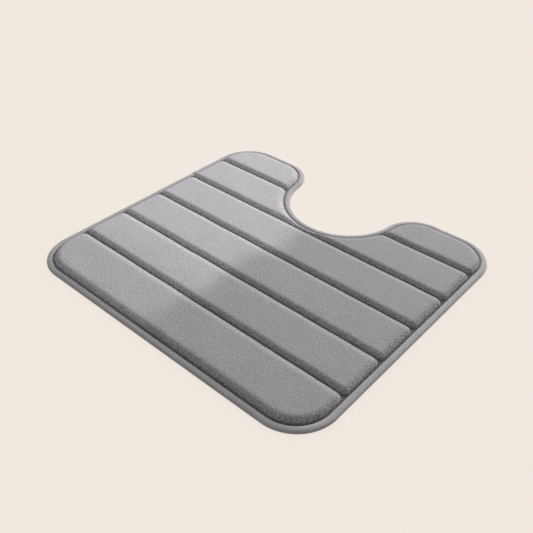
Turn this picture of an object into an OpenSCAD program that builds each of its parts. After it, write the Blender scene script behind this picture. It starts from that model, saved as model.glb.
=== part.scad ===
// Contour bath mat: a memory foam slab pressed into cross bands, a fleece cover laminated
// on top, a dotted grip cloth below, and a sewn binding tape round the whole edge.
// +X runs along the width, the cut-out opens towards +Y, the floor is z = 0.

/* [Overall] */
// Width from side to side
mat_w = 610; // [500:5:760]
// Depth from the front edge to the back of the two lobes
mat_d = 555; // [480:5:700]
// Height of the band crests above the floor
mat_h = 13; // [10:0.5:24]

/* [Outline] */
// Radius of the four outer corners
corner_r = 73; // [40:1:90]
// Radius of the two corners at the mouth of the cut-out
lobe_r = 68; // [40:1:80]
// Radius of the round end of the cut-out
cut_r = 106; // [85:1:125]
// Depth of the cut-out from the back edge
cut_depth = 156; // [125:1:190]

/* [Bands] */
// Number of pressed grooves across the mat
groove_count = 5; // [3:1:6]
// Distance from one groove to the next
groove_pitch = 89; // [70:1:110]
// How far the middle of the groove pattern lies behind the middle of the mat
groove_shift = 9.5; // [-10:0.5:15]
// Width of the flat line pressed along the bottom of a groove
groove_line_w = 1; // [0.6:0.2:4]
// Width of the steep rounded flank behind a groove, which faces the front
front_flank = 11.5; // [9:0.5:18]
// Width of the gentle rounded flank before a groove, which faces the back
back_flank = 17.5; // [10:0.5:22]
// Width of the stepped flank inside the binding
edge_flank = 15; // [12:0.5:20]
// Number of steps in that flank
edge_steps = 4; // [3:1:8]

/* [Layers] */
// Thickness of the fleece cover with its pile
cover_t = 1.8; // [1:0.1:2.5]
// Thickness of the cover where it is pressed flat, under the tape and in the grooves
pressed_cover_t = 1.5; // [0.6:0.1:2]
// Thickness of the foam where it is pressed flat
pressed_foam_t = 1.7; // [1:0.1:3]
// Thickness of the grip cloth
backing_t = 0.7; // [0.4:0.1:1.5]

/* [Binding] */
// Width of the tape as it shows on the top and on the underside
tape_w = 12.5; // [10:0.5:16]
// Thickness of the tape
tape_t = 0.8; // [0.8:0.1:1.5]
// How far the tape's nose steps in at its top and bottom
nose_ease = 0.6; // [0.2:0.1:0.8]
// Distance of the seam from the inner edge of the tape
seam_inset = 1.6; // [1:0.1:4]
// Thickness of the sewing thread
thread_d = 0.5; // [0.3:0.05:0.6]
// Depth that the bobbin thread is drawn into the underside of the tape
thread_recess = 0.1; // [0.05:0.05:0.2]

/* [Grip dots] */
// Width of one dot
dot_d = 4.5; // [3:0.1:6]
// Height of one dot below the grip cloth
dot_h = 0.8; // [0.4:0.1:1.5]
// Distance from one dot to the next
dot_pitch = 16; // [14:0.5:24]
// Gap between the outermost dots and the tape
dot_edge_gap = 3; // [2:0.5:8]

/* [Care label] */
// Width of the label along the binding
label_w = 38; // [20:1:60]
// Length of the label that shows beyond the tape
label_l = 28; // [15:1:50]
// Thickness of the label
label_t = 0.3; // [0.2:0.05:0.4]
// Length of the label held under the tape
label_tuck = 7; // [4:0.5:9]
// Place of the label's middle along the right side, from the middle of the mat
label_y = -70; // [-120:5:60]
// Bare margin of cloth round the label
label_gap = 1; // [0.5:0.5:4]

/* [Hidden] */
$fn = 96;
FUSE = 1;      // how far a cutting form runs past the face that it cuts
BIG = 2000;    // length of a cutting block, longer than any mat

// Heights of the layers above the floor
backing_z = max(tape_t, dot_h);
foam_z = backing_z + backing_t;
pressed_z = foam_z + pressed_foam_t;
groove_z = pressed_z + pressed_cover_t;
edge_top = groove_z + tape_t;
tape_z = backing_z - tape_t;
needle_z = edge_top - thread_d / 2;
// The bobbin thread is drawn into the tape, and at least as far as the label
bobbin_z = max(tape_z + thread_recess, backing_z - label_t - thread_d);

// Outline
half_w = mat_w / 2;
half_d = mat_d / 2;
cut_y = half_d - cut_depth + cut_r;
lobe_y = half_d - lobe_r;
lobe_x = sqrt(pow(cut_r + lobe_r, 2) - pow(cut_y - lobe_y, 2));
mouth_angle = atan2(lobe_y - cut_y, lobe_x);
seam_x = tape_w - seam_inset;

// Grooves, from the front one to the back one
groove_ys = [for (i = [0 : groove_count - 1])
    groove_shift + (i - (groove_count - 1) / 2) * groove_pitch];

// Radius of an arc that is level at the crest and drops by h over a flank of width w
function flank_r(w, h) = (w * w + h * h) / (2 * h);

// True where a point lies inside the mat by at least this inset
function in_plate(x, y, inset) =
    norm([max(abs(x) - half_w + corner_r, 0), max(abs(y) - half_d + corner_r, 0)])
        <= corner_r - inset
    && abs(x) <= half_w - inset && abs(y) <= half_d - inset;
function in_mouth(x, y, inset) =
    abs(x) < lobe_x && y > cut_y + abs(x) * tan(mouth_angle)
    && norm([abs(x) - lobe_x, y - lobe_y]) > lobe_r - inset;
function on_mat(x, y, inset) =
    in_plate(x, y, inset) && norm([x, y - cut_y]) >= cut_r + inset && !in_mouth(x, y, inset);
function by_label(x, y, margin) =
    x > half_w - tape_w - label_l - margin && abs(y - label_y) < label_w / 2 + margin;

// The outline of the mat, drawn in by an inset
module outline(inset) {
    x = half_w - corner_r;
    y = half_d - corner_r;
    difference() {
        union() {
            square([2 * x, mat_d - 2 * inset], center = true);
            square([mat_w - 2 * inset, 2 * y], center = true);
            for (sx = [-1, 1], sy = [-1, 1])
                translate([sx * x, sy * y]) circle(corner_r - inset);
        }
        translate([0, cut_y]) circle(cut_r + inset);
        difference() {
            polygon([[0, cut_y], [lobe_x, lobe_y], [lobe_x, half_d + FUSE],
                     [-lobe_x, half_d + FUSE], [-lobe_x, lobe_y]]);
            for (side = [-1, 1])
                translate([side * lobe_x, lobe_y]) circle(lobe_r - inset);
        }
    }
}

module layer(inset, z0, z1) {
    translate([0, 0, z0]) linear_extrude(z1 - z0) outline(inset);
}

// The raised form inside the tape, which steps up to the crest along an arc. A skin draws
// it in, which leaves room for the cover.
module pillow(skin) {
    rise = mat_h - groove_z;
    r = flank_r(edge_flank, rise);
    for (i = [1 : edge_steps]) {
        top = groove_z + rise * i / edge_steps;
        middle = top - rise / edge_steps / 2;
        inset = tape_w + edge_flank - sqrt(r * r - pow(middle - mat_h + r, 2));
        layer(inset + skin, pressed_z, top - skin);
    }
}

// Section of a rounded flank of width w, from the pressed foam's top to the crest
module flank_section(w, skin) {
    r = flank_r(w, mat_h - groove_z);
    intersection() {
        translate([w, mat_h - r]) circle(r - skin);
        translate([0, pressed_z]) square([w, mat_h - pressed_z]);
    }
}

// The raised bands: the pillow inside the binding, cut across by the grooves
module bands(skin) {
    intersection() {
        pillow(skin);
        union() {
            for (i = [0 : groove_count]) band(i, skin);
        }
    }
}

// One band from groove to groove. The first and the last run on past the edge.
module band(i, skin) {
    front = i == 0 ? -half_d - front_flank : groove_ys[i - 1] + groove_line_w / 2;
    back = i == groove_count ? half_d + back_flank : groove_ys[i] - groove_line_w / 2;
    rotate([90, 0, 90]) translate([0, 0, -BIG / 2]) linear_extrude(BIG) {
        translate([front + front_flank, pressed_z])
            square([back - front - front_flank - back_flank, mat_h - skin - pressed_z]);
        translate([front, 0]) flank_section(front_flank, skin);
        translate([back, 0]) mirror([1, 0]) flank_section(back_flank, skin);
    }
}

module label_form() {
    translate([half_w - tape_w - label_l, label_y - label_w / 2, backing_z - label_t])
        cube([label_l + label_tuck, label_w, label_t]);
}

// A line of stitching that follows the outline
module seam(z0, z1) {
    difference() {
        layer(seam_x - thread_d / 2, z0, z1);
        layer(seam_x + thread_d / 2, z0 - FUSE, z1 + FUSE);
    }
}

module bobbin_seam() {
    seam(bobbin_z, bobbin_z + thread_d);
}

// Memory foam slab, pressed thin at its rim and along the grooves
module foam_core() {
    color("wheat") union() {
        layer(tape_t, foam_z, pressed_z);
        bands(cover_t);
    }
}

// Fleece cover: a skin over every band, flat at the rim and in the grooves
module top_cover() {
    color("darkgray") difference() {
        union() {
            layer(tape_t, pressed_z, groove_z);
            bands(0);
        }
        bands(cover_t);
    }
}

module backing_cloth() {
    color("dimgray") layer(tape_t, backing_z, foam_z);
}

// Grip dots in offset rows, left out under the label
module grip_dots() {
    row_step = dot_pitch * sqrt(3) / 2;
    rows = ceil(half_d / row_step);
    columns = ceil(half_w / dot_pitch);
    inset = tape_w + dot_edge_gap + dot_d / 2;
    color("gray")
        for (row = [-rows : rows], column = [-columns : columns]) {
            x = (column + (row % 2 == 0 ? 0 : 0.5)) * dot_pitch;
            y = row * row_step;
            if (on_mat(x, y, inset) && !by_label(x, y, label_gap + dot_d / 2))
                translate([x, y, backing_z - dot_h]) cylinder(d = dot_d, h = dot_h);
        }
}

// Tape folded over the edge: top leg, eased nose and lower leg
module edge_binding() {
    color("gray") difference() {
        union() {
            layer(0, tape_z + nose_ease, edge_top - nose_ease);
            layer(nose_ease, tape_z, edge_top);
        }
        layer(tape_w, tape_z - FUSE, edge_top + FUSE);
        layer(tape_t, backing_z, groove_z);
        seam(needle_z, edge_top + FUSE);
        seam(tape_z - FUSE, bobbin_z + thread_d);
        label_form();
    }
}

// Thread on the top, pulled half its thickness into the tape
module needle_thread() {
    color("silver") seam(needle_z, needle_z + thread_d);
}

// Thread on the underside, pulled wholly into the tape
module bobbin_thread() {
    color("silver") bobbin_seam();
}

// Ribbon label, sewn through by the seam, whose thread presses into it
module care_label() {
    color("white") difference() {
        label_form();
        bobbin_seam();
    }
}

foam_core();
top_cover();
backing_cloth();
grip_dots();
edge_binding();
needle_thread();
bobbin_thread();
care_label();
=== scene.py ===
"""Looks of the contour bath mat: fleece cover, foam, bound edge, grip cloth and stitching.

Lengths are in metres. X is the width, +Y is the back where the cut-out opens, z = 0 is the
floor.
"""

import math

import bpy
import numpy as np
from mathutils import Matrix, Vector
from mathutils.geometry import delaunay_2d_cdt


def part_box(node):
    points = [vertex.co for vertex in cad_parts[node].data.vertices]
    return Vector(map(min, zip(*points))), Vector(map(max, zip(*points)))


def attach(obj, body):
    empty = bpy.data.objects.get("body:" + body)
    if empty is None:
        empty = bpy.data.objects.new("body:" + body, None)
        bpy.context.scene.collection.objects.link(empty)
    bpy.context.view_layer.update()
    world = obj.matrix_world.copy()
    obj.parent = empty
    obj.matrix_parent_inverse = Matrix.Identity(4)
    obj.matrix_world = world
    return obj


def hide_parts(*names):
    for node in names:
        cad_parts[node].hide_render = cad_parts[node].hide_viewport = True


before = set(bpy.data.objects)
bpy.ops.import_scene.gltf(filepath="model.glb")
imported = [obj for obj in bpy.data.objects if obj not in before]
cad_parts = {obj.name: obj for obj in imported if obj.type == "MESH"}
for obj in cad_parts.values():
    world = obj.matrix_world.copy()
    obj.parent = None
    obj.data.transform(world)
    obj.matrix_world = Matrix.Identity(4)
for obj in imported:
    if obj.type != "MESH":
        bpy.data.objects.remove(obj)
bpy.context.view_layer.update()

# Thickness of the cloths
TAPE_T = 0.0008
COVER_T = 0.0018
LABEL_T = 0.0002

# Sizes that the frame gives
HALF_W, HALF_D, TAPE_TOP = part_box("edge_binding")[1]
CREST_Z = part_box("top_cover")[1][2]
GROOVE_Z = TAPE_TOP - TAPE_T
BACKING_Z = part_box("backing_cloth")[0][2]
FOAM_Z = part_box("foam_core")[0][2]
LABEL_LOW, LABEL_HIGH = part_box("care_label")

# The outline
CORNER_R = 0.073
LOBE_R = 0.068
CUT_R = 0.106
CUT_DEPTH = 0.156
CUT_Y = HALF_D - CUT_DEPTH + CUT_R
LOBE_Y = HALF_D - LOBE_R
LOBE_X = math.sqrt((CUT_R + LOBE_R) ** 2 - (CUT_Y - LOBE_Y) ** 2)
MOUTH_ANGLE = math.atan2(LOBE_Y - CUT_Y, LOBE_X)

# The bands
GROOVE_SHIFT = 0.0095
GROOVE_PITCH = 0.089
GROOVE_YS = [GROOVE_SHIFT + GROOVE_PITCH * i for i in range(-2, 3)]
GROOVE_WANDER = 0.0005 # how far a groove strays from a straight line
FRONT_FLANK = 0.0115   # flank of the band behind a groove, which faces the front
BACK_FLANK = 0.0175    # flank of the band before a groove, which slopes away more gently
FLANK_POWER = 2.6      # how late and how steeply a flank falls
EDGE_FLANK = 0.015
CORNER_POWER = 2.4     # how squarely a groove's flank turns into the edge's flank
BROAD_RIPPLE = 0.00022 # unevenness of the crests over a hand's width
FINE_RIPPLE = 0.00008  # unevenness of the crests over a finger's width

# The tape and its seam
TAPE_W = 0.0125
TAPE_CREST_X = 0.0070  # where the tape stands highest, from its outer edge
ROLL_X = 0.0108        # where the tape's rounded part meets the pressed ditch
ROLL_POINTS = 11       # points of the section along that rounded part
NOSE_Z = 0.0026        # height of the tape's outermost line
TAPE_PUFF = 0.0009     # how far the tape's crest stands over the CAD's flat tape
LIP_DROP = 0.0002      # how far the seam pulls the tape's inner edge down
LAP_Y = 0.13           # where the tape's ends lap, on the left side
LAP_RINGS = 9
LAP_T = 0.0005         # how far the lapped end stands out over the tape
LAP_FLOOR_GAP = 0.00015 # how far the tape stands over the floor beside the lapped end
SEAM_X = 0.0109
STITCH_PITCH = 0.0032
STITCH_START = 0.04    # share of the pitch before a stitch begins
STITCH_SHARE = 0.92    # share of the pitch that a stitch fills
STITCH_SWAY = 0.00008  # how far stitches lie to the left and right of the seam in turn
STITCH_DIP = 0.0004    # how far a stitch's ends dip into the tape
THREAD_R = 0.00024
HAIR = 0.00002         # gap that keeps two faces out of one plane

# Grip dots
DOT_D = 0.0045
DOT_PITCH = 0.016
DOT_EDGE_GAP = 0.003
DOT_INSET = TAPE_W + DOT_EDGE_GAP + DOT_D / 2
# Shares of a dot's radius and height, from the cloth down to its tip
DOT_SECTION = ((1.0, 0.0), (0.97, 0.35), (0.86, 0.68), (0.62, 0.9), (0.3, 0.99))
LABEL_GAP = 0.001

rng = np.random.default_rng(7)


# ---------------------------------------------------------------- outline

def edge_distance(x, y):
    """How far points lie inside the outline, in metres."""
    ax = np.abs(x)
    qx = ax - HALF_W + CORNER_R
    qy = np.abs(y) - HALF_D + CORNER_R
    outside = np.hypot(np.maximum(qx, 0), np.maximum(qy, 0))
    plate = CORNER_R - outside - np.minimum(np.maximum(qx, qy), 0)
    cut = np.hypot(x, y - CUT_Y) - CUT_R
    lobe = LOBE_R - np.hypot(ax - LOBE_X, y - LOBE_Y)
    above = y > CUT_Y + ax * math.tan(MOUTH_ANGLE)
    return np.where((ax < LOBE_X) & above, np.minimum(np.minimum(plate, cut), lobe),
                    np.minimum(plate, cut))


def arc(cx, cy, r, start, end, step, hollow=False):
    """Points and outward normals along an arc, without its last point."""
    n = max(2, round(abs(end - start) * r / step))
    a = np.linspace(start, end, n, endpoint=False)
    normal = np.c_[np.cos(a), np.sin(a)]
    return np.array([cx, cy]) + r * normal, -normal if hollow else normal


def line(x0, y0, x1, y1, nx, ny, step):
    """Points and outward normals along a straight edge, without its last point."""
    n = max(2, round(math.hypot(x1 - x0, y1 - y0) / step))
    t = np.linspace(0, 1, n, endpoint=False)[:, None]
    return np.array([x0, y0]) * (1 - t) + np.array([x1, y1]) * t, np.tile([nx, ny], (n, 1))


def outline(step):
    """Points and outward normals round the whole outline, anticlockwise."""
    x, y = HALF_W - CORNER_R, HALF_D - CORNER_R
    turn = math.pi / 2
    tip = math.pi + MOUTH_ANGLE
    runs = [
        line(-x, -HALF_D, x, -HALF_D, 0, -1, step),
        arc(x, -y, CORNER_R, -turn, 0, step),
        line(HALF_W, -y, HALF_W, y, 1, 0, step),
        arc(x, y, CORNER_R, 0, turn, step),
        line(x, HALF_D, LOBE_X, HALF_D, 0, 1, step),
        arc(LOBE_X, LOBE_Y, LOBE_R, turn, tip, step),
        arc(0, CUT_Y, CUT_R, MOUTH_ANGLE, -math.pi - MOUTH_ANGLE, step, hollow=True),
        arc(-LOBE_X, LOBE_Y, LOBE_R, math.pi - tip, turn, step),
        line(-LOBE_X, HALF_D, -x, HALF_D, 0, 1, step),
        arc(-x, y, CORNER_R, turn, 2 * turn, step),
        line(-HALF_W, y, -HALF_W, -y, -1, 0, step),
        arc(-x, -y, CORNER_R, 2 * turn, 3 * turn, step),
    ]
    return np.vstack([r[0] for r in runs]), np.vstack([r[1] for r in runs])


def lengths_along(points):
    """Distance from the first point to each point, and the whole closed length."""
    gaps = np.linalg.norm(np.roll(points, -1, axis=0) - points, axis=1)
    return np.concatenate([[0], np.cumsum(gaps)[:-1]]), gaps.sum()


# ---------------------------------------------------------------- the moulded surface

def ripple(x, y, wavelength, seed):
    """A smooth wandering value from -1 to 1, the same each run."""
    draw = np.random.default_rng(seed)
    total = np.zeros_like(x)
    for _ in range(5):
        a = draw.uniform(0, 2 * math.pi)
        k = 2 * math.pi / (wavelength * draw.uniform(0.7, 1.5))
        total += np.sin(k * (x * math.cos(a) + y * math.sin(a)) + draw.uniform(0, 2 * math.pi))
    return total / 5


def surface_z(x, y):
    """Height of the cover's face: it falls to the tape at the edge and along each groove."""
    rise = CREST_Z - GROOVE_Z
    inside = edge_distance(x, y) - TAPE_W
    wander = GROOVE_WANDER * ripple(x, y * 0, 0.11, 3)
    behind = [y - g - wander for g in GROOVE_YS]
    groove = np.min([np.maximum(d / FRONT_FLANK, -d / BACK_FLANK) for d in behind], axis=0)
    a = 1 - np.clip(inside / EDGE_FLANK, 0, 1)
    b = 1 - np.clip(groove, 0, 1)
    near = np.minimum((a ** CORNER_POWER + b ** CORNER_POWER) ** (1 / CORNER_POWER), 1)
    height = 1 - near ** FLANK_POWER
    soft = BROAD_RIPPLE * ripple(x, y, 0.07, 11) + FINE_RIPPLE * ripple(x, y, 0.014, 12)
    soft = height * soft
    return GROOVE_Z + rise * height + soft


def surface_points(first_ring, rings, offsets, step):
    """Plan points of a surface mesh: rings along the edge, lines along the grooves, a fill."""
    points, normals = outline(step)
    boundary = points - normals * first_ring
    loops = [points - normals * r for r in rings]
    xs = np.arange(-HALF_W, HALF_W, step)
    lines = [np.c_[xs, np.full_like(xs, g + side * o)]
             for g in GROOVE_YS for o in offsets for side in ((1, -1) if o else (1,))]
    fill_x, fill_y = np.meshgrid(np.arange(-HALF_W, HALF_W, step * 1.25),
                                 np.arange(-HALF_D, HALF_D, step * 1.25))
    fill = np.c_[fill_x.ravel(), fill_y.ravel()]
    fill += rng.uniform(-0.15, 0.15, fill.shape) * step
    last = max(rings)
    lines = np.vstack(lines)
    d = edge_distance(lines[:, 0], lines[:, 1])
    apart = np.min([np.abs(d - r) for r in rings], axis=0)
    lines = lines[(d > min(rings)) & ((d > last + step * 0.3) | (apart > 0.0004))]
    d = edge_distance(fill[:, 0], fill[:, 1])
    groove = np.min([np.abs(fill[:, 1] - g) for g in GROOVE_YS], axis=0)
    fill = fill[(d > last + step * 0.6) & (groove > max(offsets) + step * 0.6)]
    return boundary, np.vstack(loops + [lines, fill])


def triangulate(boundary, inner):
    """Triangles that fill the boundary loop and use the inner points."""
    n = len(boundary)
    verts = [Vector(p) for p in np.vstack([boundary, inner])]
    edges = [(i, (i + 1) % n) for i in range(n)]
    out, _, faces, _, _, _ = delaunay_2d_cdt(verts, edges, [], 1, 1e-7, False)
    plan, faces = np.array([tuple(v) for v in out]), np.array([tuple(f) for f in faces])
    # Triangles that bridge the mouth of the cut-out lie off the mat
    middles = plan[faces].mean(axis=1)
    inside = edge_distance(middles[:, 0], middles[:, 1]) > edge_distance(*boundary[0]) * 0.98
    return plan, [tuple(f) for f in faces[inside].tolist()]


def new_piece(name, verts, faces):
    mesh = bpy.data.meshes.new(name)
    mesh.from_pydata([tuple(v) for v in verts], [], faces)
    mesh.validate()
    mesh.polygons.foreach_set("use_smooth", [True] * len(mesh.polygons))
    mesh.update()
    piece = bpy.data.objects.new(name, mesh)
    bpy.context.scene.collection.objects.link(piece)
    return piece


def closed_slab(name, boundary, inner, top_z, bottom_z):
    """A solid between two heights, which may each vary over the plan."""
    plan, faces = triangulate(boundary, inner)
    n, loop = len(plan), len(boundary)
    top = np.c_[plan, top_z(plan[:, 0], plan[:, 1])]
    bottom = np.c_[plan, bottom_z(plan[:, 0], plan[:, 1])]
    sides = [(i, i + n, (i + 1) % loop + n, (i + 1) % loop) for i in range(loop)]
    return new_piece(name, np.vstack([top, bottom]),
                     faces + [tuple(i + n for i in reversed(f)) for f in faces] + sides)


# ---------------------------------------------------------------- pieces

def make_cover():
    """The fleece sheet. Its mesh is finest where it turns down to the tape and the grooves."""
    rings = [TAPE_W + r for r in (-0.0015, 0, 0.0005, 0.0012, 0.0022, 0.0034, 0.0048, 0.0064,
                                  0.0083, 0.0105, 0.013, 0.016)]
    offsets = (0, 0.0004, 0.0009, 0.0016, 0.0025, 0.0036, 0.0049, 0.0064, 0.0083, 0.0105,
               0.013, 0.0155, 0.018)
    boundary, inner = surface_points(0.006, rings, offsets, 0.0028)
    plan, faces = triangulate(boundary, inner)
    height = surface_z(plan[:, 0], plan[:, 1])
    piece = new_piece("fleece_cover", np.c_[plan, height], faces)
    fall = piece.data.attributes.new("fall", "FLOAT", "POINT")
    fall.data.foreach_set("value", (CREST_Z - height) / (CREST_Z - GROOVE_Z))
    return piece


def make_foam():
    """The foam slab under the fleece, squeezed thin under the grooves."""
    pressed_t = 0.0012
    rings = [TAPE_W + r for r in (0, 0.002, 0.004, 0.007, 0.011, 0.016)]
    offsets = (0, 0.0015, 0.003, 0.005, 0.008, 0.013)
    boundary, inner = surface_points(TAPE_T + 0.0004, rings, offsets, 0.007)

    def top(x, y):
        return np.maximum(surface_z(x, y) - COVER_T, FOAM_Z + pressed_t)

    return closed_slab("foam_slab", boundary, inner, top, lambda x, y: x * 0 + FOAM_Z + 0.0001)


def make_backing():
    """The grip cloth, drawn up a little under each groove."""
    tuck_depth, tuck_width = 0.0001, 0.004
    boundary, inner = surface_points(TAPE_T + 0.0004, [TAPE_W, TAPE_W + 0.006], (0, 0.006),
                                     0.006)

    def low(x, y):
        groove = np.min([np.abs(y - g) for g in GROOVE_YS], axis=0)
        tuck = tuck_depth * np.exp(-(groove / tuck_width) ** 2)
        return BACKING_Z + tuck + x * 0

    return closed_slab("grip_cloth", boundary, inner, lambda x, y: x * 0 + FOAM_Z, low)


def tape_profile(grow=0.0):
    """Section of the folded tape, as (distance in from the outline, height) pairs."""
    top = TAPE_TOP + TAPE_PUFF
    lip = GROOVE_Z - LIP_DROP
    a = np.linspace(0, math.pi / 2, ROLL_POINTS)
    ditch_x = [TAPE_W, (TAPE_W + ROLL_X) / 2]
    leg_x = np.concatenate([ditch_x, TAPE_CREST_X + (ROLL_X - TAPE_CREST_X) * np.cos(a)])
    leg_z = np.concatenate([[lip, lip], lip + (top - lip) * np.sin(a)])
    a = np.linspace(math.pi / 2, 0, 14)[1:]
    nose_x = TAPE_CREST_X * (1 - np.cos(a))
    nose_z = NOSE_Z + (top - NOSE_Z) * np.sin(a)
    low = max(LAP_FLOOR_GAP - grow, 0)
    a = np.linspace(0, -math.pi / 2, 6)[1:]
    nose_x = np.concatenate([nose_x, NOSE_Z * (1 - np.cos(a))])
    nose_z = np.concatenate([nose_z, low + (NOSE_Z - low) * (1 + np.sin(a))])
    low_x = np.linspace(NOSE_Z, TAPE_W, 6)[1:]
    outer = np.vstack([np.c_[leg_x, leg_z + grow], np.c_[nose_x - grow, nose_z],
                       np.c_[low_x, low_x * 0 + low]])
    inner_x = np.array([TAPE_W, NOSE_Z + 0.001, TAPE_T + 0.0006, TAPE_T + 0.0016, 0.0045, TAPE_W])
    inner_z = np.array([BACKING_Z, BACKING_Z, BACKING_Z + 0.0005, BACKING_Z + 0.0012,
                        GROOVE_Z - 0.0008, GROOVE_Z - LIP_DROP - 0.0002])
    return np.vstack([outer, np.c_[inner_x, inner_z]])


def sweep(points, normals, profile, closed):
    """Vertices and faces of a section carried along points."""
    n, m = len(points), len(profile)
    verts = np.empty((n, m, 3))
    verts[:, :, :2] = points[:, None] - normals[:, None] * profile[None, :, :1]
    verts[:, :, 2] = profile[:, 1]
    rows = n if closed else n - 1
    faces = [(i * m + j, (i + 1) % n * m + j, (i + 1) % n * m + (j + 1) % m,
              i * m + (j + 1) % m) for i in range(rows) for j in range(m)]
    if not closed:
        faces += [tuple(range(m)), tuple(reversed(range((n - 1) * m, n * m)))]
    return verts.reshape(-1, 3), faces


def make_tape():
    """The folded tape and its lapped end. Its UVs are metres along and across the cloth."""
    points, normals = outline(0.0025)
    profile = tape_profile()
    verts, faces = sweep(points, normals, profile, True)
    start = int(np.argmin(np.hypot(points[:, 0] + HALF_W, points[:, 1] - LAP_Y)))
    lap = slice(start, start + LAP_RINGS)
    lap_verts, lap_faces = sweep(points[lap], normals[lap], tape_profile(LAP_T), False)
    faces += [tuple(i + len(verts) for i in f) for f in lap_faces]
    piece = new_piece("binding_tape", np.vstack([verts, lap_verts]), faces)
    along, whole = lengths_along(points)
    across, _ = lengths_along(profile)
    m = len(profile)
    uv = piece.data.uv_layers.new(name="cloth")
    index = np.empty(len(piece.data.loops), int)
    piece.data.loops.foreach_get("vertex_index", index)
    # The lapped end takes its UVs from the rings that it lies on
    ring, place = index // m, index % m
    in_lap = index >= len(verts)
    ring[in_lap] = start + ring[in_lap] - len(points)
    u, v = along[ring % len(points)], across[place]
    sizes = np.array([p.loop_total for p in piece.data.polygons])
    # Faces that close the ring run on past its whole length
    first = np.repeat(np.cumsum(sizes) - sizes, sizes)
    u = np.where(u < u[first] - whole / 2, u + whole, u)
    u = np.where(u > u[first] + whole / 2, u - whole, u)
    uv.data.foreach_set("uv", np.c_[u, v].ravel())
    return piece


def make_stitches(name, inset, z, side):
    """A row of lock stitches: each a short bowed thread whose ends dip into the tape."""
    points, normals = outline(0.0008)
    along, whole = lengths_along(points - normals * inset)
    count = round(whole / STITCH_PITCH)
    rings, sides = 7, 8
    turn = np.linspace(0, 2 * math.pi, sides, endpoint=False)
    verts, faces = [], []
    for i in range(count):
        for k in range(rings):
            t = k / (rings - 1)
            s = (i + STITCH_START + STITCH_SHARE * t) * whole / count
            j = int(np.searchsorted(along, s % whole)) % len(points)
            sway = STITCH_SWAY * (1 if i % 2 else -1)
            centre = points[j] - normals[j] * (inset + sway)
            bow = math.sin(math.pi * t) ** 0.5
            thick = THREAD_R * (0.55 + 0.45 * bow)
            lift = z + side * (bow - 1) * STITCH_DIP
            verts += [(*(centre - normals[j] * thick * math.cos(a)),
                       lift + thick * math.sin(a)) for a in turn]
        base = i * rings * sides
        for k in range(rings - 1):
            faces += [(base + k * sides + a, base + k * sides + (a + 1) % sides,
                       base + (k + 1) * sides + (a + 1) % sides, base + (k + 1) * sides + a)
                      for a in range(sides)]
        faces += [tuple(base + a for a in reversed(range(sides))),
                  tuple(base + (rings - 1) * sides + a for a in range(sides))]
    return new_piece(name, verts, faces)


def make_dots():
    """Low round-topped dots under the grip cloth, in offset rows."""
    row_step = DOT_PITCH * math.sqrt(3) / 2
    rows, columns = math.ceil(HALF_D / row_step), math.ceil(HALF_W / DOT_PITCH)
    places = np.array([((c + (0 if r % 2 == 0 else 0.5)) * DOT_PITCH, r * row_step)
                       for r in range(-rows, rows + 1) for c in range(-columns, columns + 1)])
    x, y = places.T
    label_y = (LABEL_LOW[1] + LABEL_HIGH[1]) / 2
    reach = (LABEL_HIGH[1] - LABEL_LOW[1]) / 2 + LABEL_GAP + DOT_D / 2
    under_label = (x > LABEL_LOW[0] - LABEL_GAP - DOT_D / 2) & (np.abs(y - label_y) < reach)
    places = places[(edge_distance(x, y) >= DOT_INSET) & ~under_label]
    sides = 14
    verts, faces = [], []
    turn = np.linspace(0, 2 * math.pi, sides, endpoint=False)
    for px, py in places:
        base = len(verts)
        r = DOT_D / 2 * rng.uniform(0.96, 1.03)
        for share, drop in DOT_SECTION:
            verts += [(px + r * share * math.cos(a), py + r * share * math.sin(a),
                       BACKING_Z * (1 - drop) + HAIR) for a in turn]
        verts.append((px, py, 0.0))
        for k in range(len(DOT_SECTION) - 1):
            faces += [(base + k * sides + (a + 1) % sides, base + k * sides + a,
                       base + (k + 1) * sides + a, base + (k + 1) * sides + (a + 1) % sides)
                      for a in range(sides)]
        tip, last = len(verts) - 1, base + (len(DOT_SECTION) - 1) * sides
        faces += [(tip, last + (a + 1) % sides, last + a) for a in range(sides)]
        faces.append(tuple(base + a for a in range(sides)))
    return new_piece("grip_dot_field", verts, faces)


def make_label():
    """A limp ribbon with a woven edge, one end held under the tape."""
    columns, rows = 24, 20
    x = np.linspace(LABEL_LOW[0], LABEL_HIGH[0], columns)
    y = np.linspace(LABEL_LOW[1], LABEL_HIGH[1], rows)
    gx, gy = np.meshgrid(x, y, indexing="ij")
    held, droop_length = 0.009, 0.02
    free = np.clip((LABEL_HIGH[0] - held - gx) / droop_length, 0, 1)
    low = LABEL_LOW[2] - free * (0.00012 + 0.0001 * np.sin(gy * 260) * free)
    n = columns * rows
    verts = np.vstack([np.c_[gx.ravel(), gy.ravel(), low.ravel()],
                       np.c_[gx.ravel(), gy.ravel(), low.ravel() + LABEL_T]])
    faces = []
    for i in range(columns - 1):
        for j in range(rows - 1):
            a = i * rows + j
            faces.append((a, a + 1, a + rows + 1, a + rows))
            faces.append((a + n, a + rows + n, a + rows + 1 + n, a + 1 + n))
    rim = ([i * rows for i in range(columns)]
           + [(columns - 1) * rows + j for j in range(1, rows)]
           + [i * rows + rows - 1 for i in reversed(range(columns - 1))]
           + list(reversed(range(1, rows - 1))))
    for a, b in zip(rim, rim[1:] + rim[:1]):
        faces.append((a, b, b + n, a + n))
    return new_piece("label_ribbon", verts, faces)


# ---------------------------------------------------------------- materials

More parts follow.
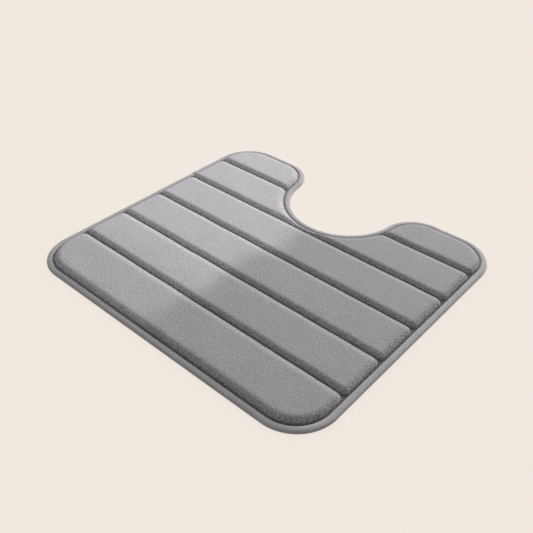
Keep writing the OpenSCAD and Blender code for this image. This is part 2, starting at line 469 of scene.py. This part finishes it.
def shader(name, roughness, sheen=0.0, sheen_roughness=0.5, specular=0.3):
    """A new material and helpers for its node tree."""
    material = bpy.data.materials.new(name)
    material.use_nodes = True
    tree = material.node_tree
    bsdf = tree.nodes["Principled BSDF"]
    bsdf.inputs["Roughness"].default_value = roughness
    bsdf.inputs["Specular IOR Level"].default_value = specular
    bsdf.inputs["Sheen Weight"].default_value = sheen
    bsdf.inputs["Sheen Roughness"].default_value = sheen_roughness
    return material, tree, bsdf


def node(tree, kind, **settings):
    made = tree.nodes.new(kind)
    for key, value in settings.items():
        if key in made.inputs:
            made.inputs[key].default_value = value
        else:
            setattr(made, key, value)
    return made


def scaled_coordinates(tree, output, scale):
    """Texture coordinates in units of one over scale metres."""
    place = node(tree, "ShaderNodeTexCoord")
    mapping = node(tree, "ShaderNodeMapping")
    mapping.inputs["Scale"].default_value = scale
    tree.links.new(place.outputs[output], mapping.inputs["Vector"])
    return mapping.outputs["Vector"]


def noise(tree, vector, scale, detail=2.0, roughness=0.5):
    made = node(tree, "ShaderNodeTexNoise", Scale=scale, Detail=detail, Roughness=roughness)
    tree.links.new(vector, made.inputs["Vector"])
    return made.outputs["Fac"]


def math_node(tree, operation, a, b=None):
    made = node(tree, "ShaderNodeMath", operation=operation)
    for socket, value in zip(made.inputs, (a, b)):
        if value is None:
            continue
        if isinstance(value, (int, float)):
            socket.default_value = value
        else:
            tree.links.new(value, socket)
    return made.outputs[0]


def remap(tree, value, low, high, to_low=0.0, to_high=1.0, smooth=True):
    made = node(tree, "ShaderNodeMapRange",
                interpolation_type="SMOOTHSTEP" if smooth else "LINEAR")
    tree.links.new(value, made.inputs["Value"])
    for key, number in zip(("From Min", "From Max", "To Min", "To Max"),
                           (low, high, to_low, to_high)):
        made.inputs[key].default_value = number
    return made.outputs["Result"]


def blend(tree, factor, low, high):
    """A colour between two colours."""
    made = node(tree, "ShaderNodeMix", data_type="RGBA")
    tree.links.new(factor, made.inputs["Factor"])
    for socket, colour in ((made.inputs[6], low), (made.inputs[7], high)):
        if isinstance(colour, tuple):
            socket.default_value = (*colour, 1)
        else:
            tree.links.new(colour, socket)
    return made.outputs[2]


def bump(tree, bsdf, height, strength, distance):
    """Relief. Its strength is a number, or a socket where it varies over the surface."""
    made = node(tree, "ShaderNodeBump", Distance=distance)
    if isinstance(strength, float):
        made.inputs["Strength"].default_value = strength
    else:
        tree.links.new(strength, made.inputs["Strength"])
    tree.links.new(height, made.inputs["Height"])
    tree.links.new(made.outputs["Normal"], bsdf.inputs["Normal"])


# A shaded and a lit copy of the fleece colour, for the painted light on the cover
FLEECE_SHADED = (0.365, 0.350, 0.369)
FLEECE_LIT = (0.538, 0.520, 0.543)
LIT_LINE_LEAN = 0.09
LIT_LINE_WANDER = 0.10
# Features per metre
TUFTS = 520.0
FIBRES = 900.0
CLUMPS = 230.0
PATCHES = 28.0


def fleece_material():
    """Short pile in small tufts. Painted light makes the left part lighter; painted shade darkens
    the tuft gaps on the flanks and the groove bottoms.
    """
    material, tree, bsdf = shader("fleece", 0.95, sheen=0.22, sheen_roughness=0.4, specular=0.05)
    place = scaled_coordinates(tree, "Object", (1, 1, 1))
    split = node(tree, "ShaderNodeSeparateXYZ")
    tree.links.new(place, split.inputs[0])
    x, y = split.outputs[0], split.outputs[1]
    fall = node(tree, "ShaderNodeAttribute", attribute_name="fall").outputs["Fac"]
    # Painted light: left of a line that leans a little, the cover is painted lighter, and towards
    # the front that lighter part fades
    lean = math_node(tree, "MULTIPLY", y, LIT_LINE_LEAN)
    stray = math_node(tree, "SUBTRACT", noise(tree, place, 9.0, 2.0), 0.5)
    wander = math_node(tree, "MULTIPLY", stray, LIT_LINE_WANDER)
    side = math_node(tree, "SUBTRACT", math_node(tree, "ADD", x, wander), lean)
    lit = remap(tree, side, 0.032, -0.045)
    front = remap(tree, y, -0.21, -0.10, 0.6, 1.0)
    lit = math_node(tree, "MULTIPLY", lit, front)
    colour = blend(tree, lit, FLEECE_SHADED, FLEECE_LIT)
    # Tufts: a grain in the colour, made much stronger on the flanks as painted light on their
    # tops and painted shade in the gaps between them
    cells = node(tree, "ShaderNodeTexVoronoi", Scale=TUFTS, Randomness=1.0)
    tree.links.new(place, cells.inputs["Vector"])
    tuft = remap(tree, cells.outputs["Distance"], 0.15, 0.75, 1.0, 0.0)
    fibres = noise(tree, place, FIBRES, 2.0, 0.6)
    clumps = noise(tree, place, CLUMPS, 2.0, 0.5)
    patches = noise(tree, place, PATCHES, 2.0, 0.5)
    relief = math_node(tree, "ADD", math_node(tree, "MULTIPLY", tuft, 0.6),
                       math_node(tree, "MULTIPLY", fibres, 0.5))
    relief = math_node(tree, "ADD", relief, math_node(tree, "MULTIPLY", clumps, 0.5))
    depth = remap(tree, fall, 0.0, 0.25, 0.22, 1.2)
    gaps = math_node(tree, "MULTIPLY", math_node(tree, "SUBTRACT", relief, 0.80), depth)
    shade = math_node(tree, "ADD", gaps, remap(tree, patches, 0.3, 0.7, -0.02, 0.02))
    shade = math_node(tree, "ADD", shade, 1.0)
    # Painted shade: the colour darkens to about a third towards the groove bottoms and the ditch
    # by the tape
    groove_shade = remap(tree, fall, 0.60, 1.0, 1.0, 0.34, smooth=False)
    shade = math_node(tree, "MULTIPLY", shade, groove_shade)
    scale = node(tree, "ShaderNodeVectorMath", operation="SCALE")
    tree.links.new(colour, scale.inputs[0])
    tree.links.new(shade, scale.inputs["Scale"])
    tree.links.new(scale.outputs[0], bsdf.inputs["Base Color"])
    bump(tree, bsdf, relief, remap(tree, fall, 0.0, 0.2, 0.7, 1.0), 0.0008)
    return material


def knit_material(name, low, high, wale, course):
    """Fine knitted cloth. Its wales run along the piece; wale and course are their sizes."""
    material, tree, bsdf = shader(name, 0.85, sheen=0.9, sheen_roughness=0.3, specular=0.15)
    uv = scaled_coordinates(tree, "UV", (1, 1, 1))
    split = node(tree, "ShaderNodeSeparateXYZ")
    tree.links.new(uv, split.inputs[0])
    across = math_node(tree, "SINE", math_node(tree, "MULTIPLY", split.outputs[1],
                                               2 * math.pi / wale))
    bend = math_node(tree, "MULTIPLY", across, 0.8)
    turns = math_node(tree, "MULTIPLY", split.outputs[0], 2 * math.pi / course)
    along = math_node(tree, "SINE", math_node(tree, "ADD", turns, bend))
    loops = math_node(tree, "MULTIPLY", math_node(tree, "ADD", across, along), 0.25)
    place = scaled_coordinates(tree, "Object", (1, 1, 1))
    fuzz = noise(tree, place, 900.0, 2.0)
    broad = noise(tree, place, 35.0, 2.0)
    height = math_node(tree, "ADD", loops, math_node(tree, "MULTIPLY", fuzz, 0.5))
    tone = math_node(tree, "ADD", math_node(tree, "MULTIPLY", height, 0.5),
                     math_node(tree, "MULTIPLY", broad, 0.5))
    tree.links.new(blend(tree, remap(tree, tone, 0.1, 0.7), low, high),
                   bsdf.inputs["Base Color"])
    bump(tree, bsdf, height, 0.5, 0.0003)
    return material


def weave_material(name, low, high, pitch, roughness, sheen):
    """Plain weave over the plan of a flat cloth."""
    material, tree, bsdf = shader(name, roughness, sheen=sheen, specular=0.2)
    place = scaled_coordinates(tree, "Object", (1, 1, 1))
    split = node(tree, "ShaderNodeSeparateXYZ")
    tree.links.new(place, split.inputs[0])
    waves = [math_node(tree, "SINE", math_node(tree, "MULTIPLY", split.outputs[k],
                                               math.pi / pitch)) for k in (0, 1)]
    crossing = math_node(tree, "MULTIPLY", waves[0], waves[1])
    fuzz = noise(tree, place, 1200.0, 2.0)
    broad = noise(tree, place, 20.0, 3.0)
    height = math_node(tree, "ADD", math_node(tree, "MULTIPLY", crossing, 0.5),
                       math_node(tree, "MULTIPLY", fuzz, 0.5))
    tone = math_node(tree, "ADD", math_node(tree, "MULTIPLY", height, 0.5),
                     math_node(tree, "MULTIPLY", broad, 0.4))
    tree.links.new(blend(tree, remap(tree, tone, 0.0, 0.7), low, high),
                   bsdf.inputs["Base Color"])
    bump(tree, bsdf, height, 0.6, 0.0003)
    return material


def mottled_material(name, low, high, scale, roughness, strength, distance, specular=0.4):
    """Rubber, foam or thread: a fine grain in tone and relief."""
    material, tree, bsdf = shader(name, roughness, specular=specular)
    place = scaled_coordinates(tree, "Object", (1, 1, 1))
    grain = noise(tree, place, scale, 3.0, 0.6)
    broad = noise(tree, place, scale / 20, 2.0)
    tone = math_node(tree, "ADD", math_node(tree, "MULTIPLY", grain, 0.6),
                     math_node(tree, "MULTIPLY", broad, 0.4))
    tree.links.new(blend(tree, remap(tree, tone, 0.3, 0.7), low, high),
                   bsdf.inputs["Base Color"])
    bump(tree, bsdf, grain, strength, distance)
    return material


def dress(piece, material, cad_node):
    """Gives a piece its material, hangs it on the root body and hides the CAD node that it stands
    for.
    """
    piece.data.materials.clear()
    piece.data.materials.append(material)
    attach(piece, "root")
    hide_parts(cad_node)


# ---------------------------------------------------------------- the mat

cover = make_cover()
dress(cover, fleece_material(), "top_cover")
foam = make_foam()
dress(foam, mottled_material("foam", (0.72, 0.66, 0.50), (0.84, 0.80, 0.66), 700, 0.9, 0.8,
                             0.0006), "foam_core")
backing = make_backing()
dress(backing, weave_material("grip_cloth", (0.10, 0.10, 0.103), (0.21, 0.21, 0.213), 0.0009,
                              0.85, 0.15), "backing_cloth")
tape = make_tape()
dress(tape, knit_material("tape", (0.365, 0.355, 0.358), (0.465, 0.453, 0.456), 0.0011, 0.0009),
      "edge_binding")
dots = make_dots()
dress(dots, mottled_material("grip_dots", (0.30, 0.30, 0.30), (0.38, 0.38, 0.38), 900, 0.45,
                             0.2, 0.0001), "grip_dots")
thread = mottled_material("thread", (0.25, 0.25, 0.25), (0.36, 0.36, 0.36), 2500, 0.7, 0.6,
                          0.0001, 0.3)
leg = tape_profile()[:ROLL_POINTS + 2]
seam_z = float(np.interp(SEAM_X, leg[::-1, 0], leg[::-1, 1]))
needle = make_stitches("needle_stitches", SEAM_X, seam_z + 0.0002, 1)
dress(needle, thread, "needle_thread")
bobbin = make_stitches("bobbin_stitches", SEAM_X, THREAD_R + HAIR, -1)
dress(bobbin, thread, "bobbin_thread")
label = make_label()
dress(label, weave_material("label", (0.70, 0.70, 0.68), (0.86, 0.86, 0.84), 0.00025, 0.4, 0.1),
      "care_label")


# ---------------------------------------------------------------- stage, light and camera

FLOOR_TONE = (0.879, 0.807, 0.737)
FLOOR_SIZE = 12
FLOOR_DROP = 0.0002
AMBIENT = 0.26
LAMP_DISTANCE = 3.6
LAMP_SIZE = 1.3
# Each lamp's name, degrees from the back towards the right, degrees above the floor, strength
LAMPS = (("back_lamp", 0, 19, 1.28), ("key_lamp", -45, 42, 0.29), ("fill_lamp", 165, 48, 0.09))


def make_floor():
    bpy.ops.mesh.primitive_plane_add(size=FLOOR_SIZE, location=(0, 0, -FLOOR_DROP))
    floor = bpy.context.object
    floor.name = "floor"
    material, _, bsdf = shader("floor", 1.0, specular=0.0)
    bsdf.inputs["Base Color"].default_value = (*FLOOR_TONE, 1)
    bsdf.inputs["Emission Color"].default_value = (*FLOOR_TONE, 1)
    bsdf.inputs["Emission Strength"].default_value = 1 - AMBIENT
    floor.data.materials.append(material)
    floor.visible_diffuse = False


def make_light():
    world = bpy.data.worlds.new("studio")
    bpy.context.scene.world = world
    world.use_nodes = True
    tree = world.node_tree
    fill = tree.nodes["Background"]
    fill.inputs["Color"].default_value = (1, 1, 1, 1)
    fill.inputs["Strength"].default_value = AMBIENT
    backdrop = node(tree, "ShaderNodeBackground", Color=(*FLOOR_TONE, 1), Strength=1.0)
    seen = node(tree, "ShaderNodeLightPath").outputs["Is Camera Ray"]
    mix = node(tree, "ShaderNodeMixShader")
    tree.links.new(seen, mix.inputs["Fac"])
    tree.links.new(fill.outputs[0], mix.inputs[1])
    tree.links.new(backdrop.outputs[0], mix.inputs[2])
    tree.links.new(mix.outputs[0], tree.nodes["World Output"].inputs["Surface"])
    lit = bpy.data.collections.new("lit_by_lamps")
    for piece in (cover, foam, backing, tape, dots, needle, bobbin, label):
        lit.objects.link(piece)
    for name, turn, lift, strength in LAMPS:
        data = bpy.data.lights.new(name, "AREA")
        data.size = LAMP_SIZE
        data.energy = strength * math.pi ** 2 * LAMP_DISTANCE ** 2
        turn, lift = math.radians(turn), math.radians(lift)
        direction = Vector((math.cos(lift) * math.sin(turn), math.cos(lift) * math.cos(turn),
                            math.sin(lift)))
        lamp = bpy.data.objects.new(name, data)
        lamp.location = direction * LAMP_DISTANCE
        lamp.rotation_euler = direction.to_track_quat("Z", "Y").to_euler()
        bpy.context.scene.collection.objects.link(lamp)
        lamp.light_linking.receiver_collection = lit


CAMERA_AT = (0.6128, -0.7038, 0.7148)
CAMERA_RIGHT = (0.7491, 0.6624, 0.0082)
CAMERA_BACK = (0.5170, -0.5923, 0.6180)
LENS = 45.36


def make_camera():
    """A camera in front of the right side, looking down across the mat."""
    data = bpy.data.cameras.new("camera")
    data.lens = LENS
    camera = bpy.data.objects.new("camera", data)
    right = Vector(CAMERA_RIGHT).normalized()
    back = Vector(CAMERA_BACK).normalized()
    up = back.cross(right).normalized()
    right = up.cross(back).normalized()
    turn = Matrix((right, up, back)).transposed().to_4x4()
    camera.matrix_world = Matrix.Translation(CAMERA_AT) @ turn
    bpy.context.scene.collection.objects.link(camera)
    bpy.context.scene.camera = camera


make_floor()
make_light()
make_camera()
bpy.context.scene.view_settings.view_transform = "Standard"

bpy.context.view_layer.update()
